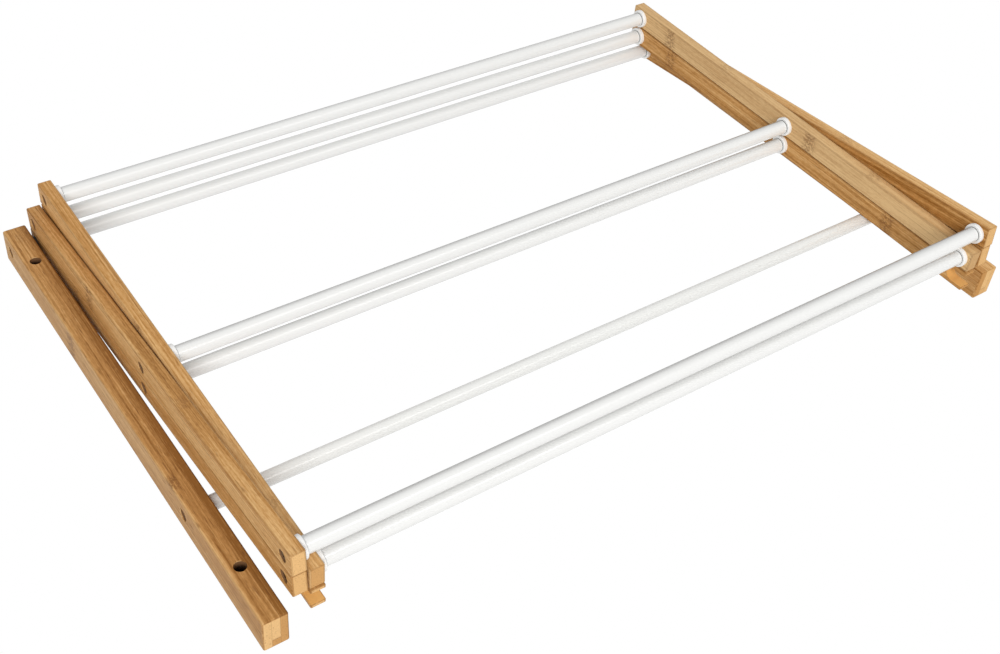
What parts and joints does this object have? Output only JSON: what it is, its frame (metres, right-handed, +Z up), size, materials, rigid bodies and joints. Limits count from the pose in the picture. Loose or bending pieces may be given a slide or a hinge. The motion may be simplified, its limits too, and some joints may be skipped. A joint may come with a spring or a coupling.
{
  "type": "wall drying rack",
  "caption": "Wall-mounted folding drying rack: bamboo scissor arms on two wall rails carry white tubular rods, pull out from the wall and hook over a fixed rod.",
  "frame": {"origin": "centre of the four wall holes, on the wall plane that the two rails lie against", "axes": "+X along the rods to the right as seen from the room, +Z up the wall, +Y into the wall, so the rack opens out towards -Y"},
  "size_m": [0.6628, 0.0757, 0.4252],
  "materials": {
    "bamboo": "satin varnished bamboo",
    "white_steel": "smooth white coating on steel",
    "white_plastic": "moulded, semi-gloss",
    "washer_plastic": "matte, dark",
    "bolt_steel": "plated steel"
  },
  "bodies": {
    "wall_frame": {"rail_left": "bamboo", "rail_right": "bamboo", "hook_rod": "white_steel", "hook_rod_screws": "bolt_steel"},
    "back_outer_arms": {"back_outer_arm_left": "bamboo", "back_outer_arm_right": "bamboo", "top_wall_rod": "white_steel", "top_wall_rod_collars": "white_plastic", "top_wall_rod_bolts": "bolt_steel", "top_wall_rod_washers": "washer_plastic"},
    "hook_arms": {"hook_arm_left": "bamboo", "hook_arm_right": "bamboo", "top_middle_rod": "white_steel", "top_middle_rod_collars": "white_plastic", "top_middle_rod_bolts": "bolt_steel", "top_middle_rod_washers": "washer_plastic", "centre_back_rod": "white_steel", "centre_back_rod_collars": "white_plastic", "centre_back_rod_bolts": "bolt_steel", "centre_back_rod_washers": "washer_plastic"},
    "front_inner_arms": {"front_inner_arm_left": "bamboo", "front_inner_arm_right": "bamboo", "top_front_rod": "white_steel", "top_front_rod_collars": "white_plastic", "top_front_rod_bolts": "bolt_steel", "centre_front_rod": "white_steel", "centre_front_rod_collars": "white_plastic", "centre_front_rod_bolts": "bolt_steel", "centre_front_rod_washers": "washer_plastic", "bottom_back_rod": "white_steel", "bottom_back_rod_collars": "white_plastic", "bottom_back_rod_bolts": "bolt_steel", "bottom_back_rod_washers": "washer_plastic"},
    "front_outer_arms": {"front_outer_arm_left": "bamboo", "front_outer_arm_right": "bamboo", "bottom_front_rod": "white_steel", "bottom_front_rod_collars": "white_plastic", "bottom_front_rod_bolts": "bolt_steel"}
  },
  "joints": [
    {"name": "unfold", "type": "hinge", "parent": "wall_frame", "child": "back_outer_arms", "pos_m": [0, -0.0153, 0.1995], "axis": [-1, 0, 0], "range_deg": [0, 36]},
    {"name": "centre_cross", "type": "hinge", "parent": "back_outer_arms", "child": "hook_arms", "pos_m": [0, -0.03137, -0.00086], "axis": [-1, 0, 0], "range_deg": [-72, 0]},
    {"name": "bottom_knuckle", "type": "hinge", "parent": "back_outer_arms", "child": "front_inner_arms", "pos_m": [0, -0.04744, -0.20121], "axis": [-1, 0, 0], "range_deg": [-72, 0]},
    {"name": "top_knuckle", "type": "hinge", "parent": "hook_arms", "child": "front_outer_arms", "pos_m": [0, -0.03386, 0.20013], "axis": [-1, 0, 0], "range_deg": [0, 72]}
  ],
  "couplings": [
    {"joint": "centre_cross", "follows": "unfold", "ratio": -2},
    {"joint": "bottom_knuckle", "follows": "unfold", "ratio": -2},
    {"joint": "top_knuckle", "follows": "unfold", "ratio": 2}
  ]
}
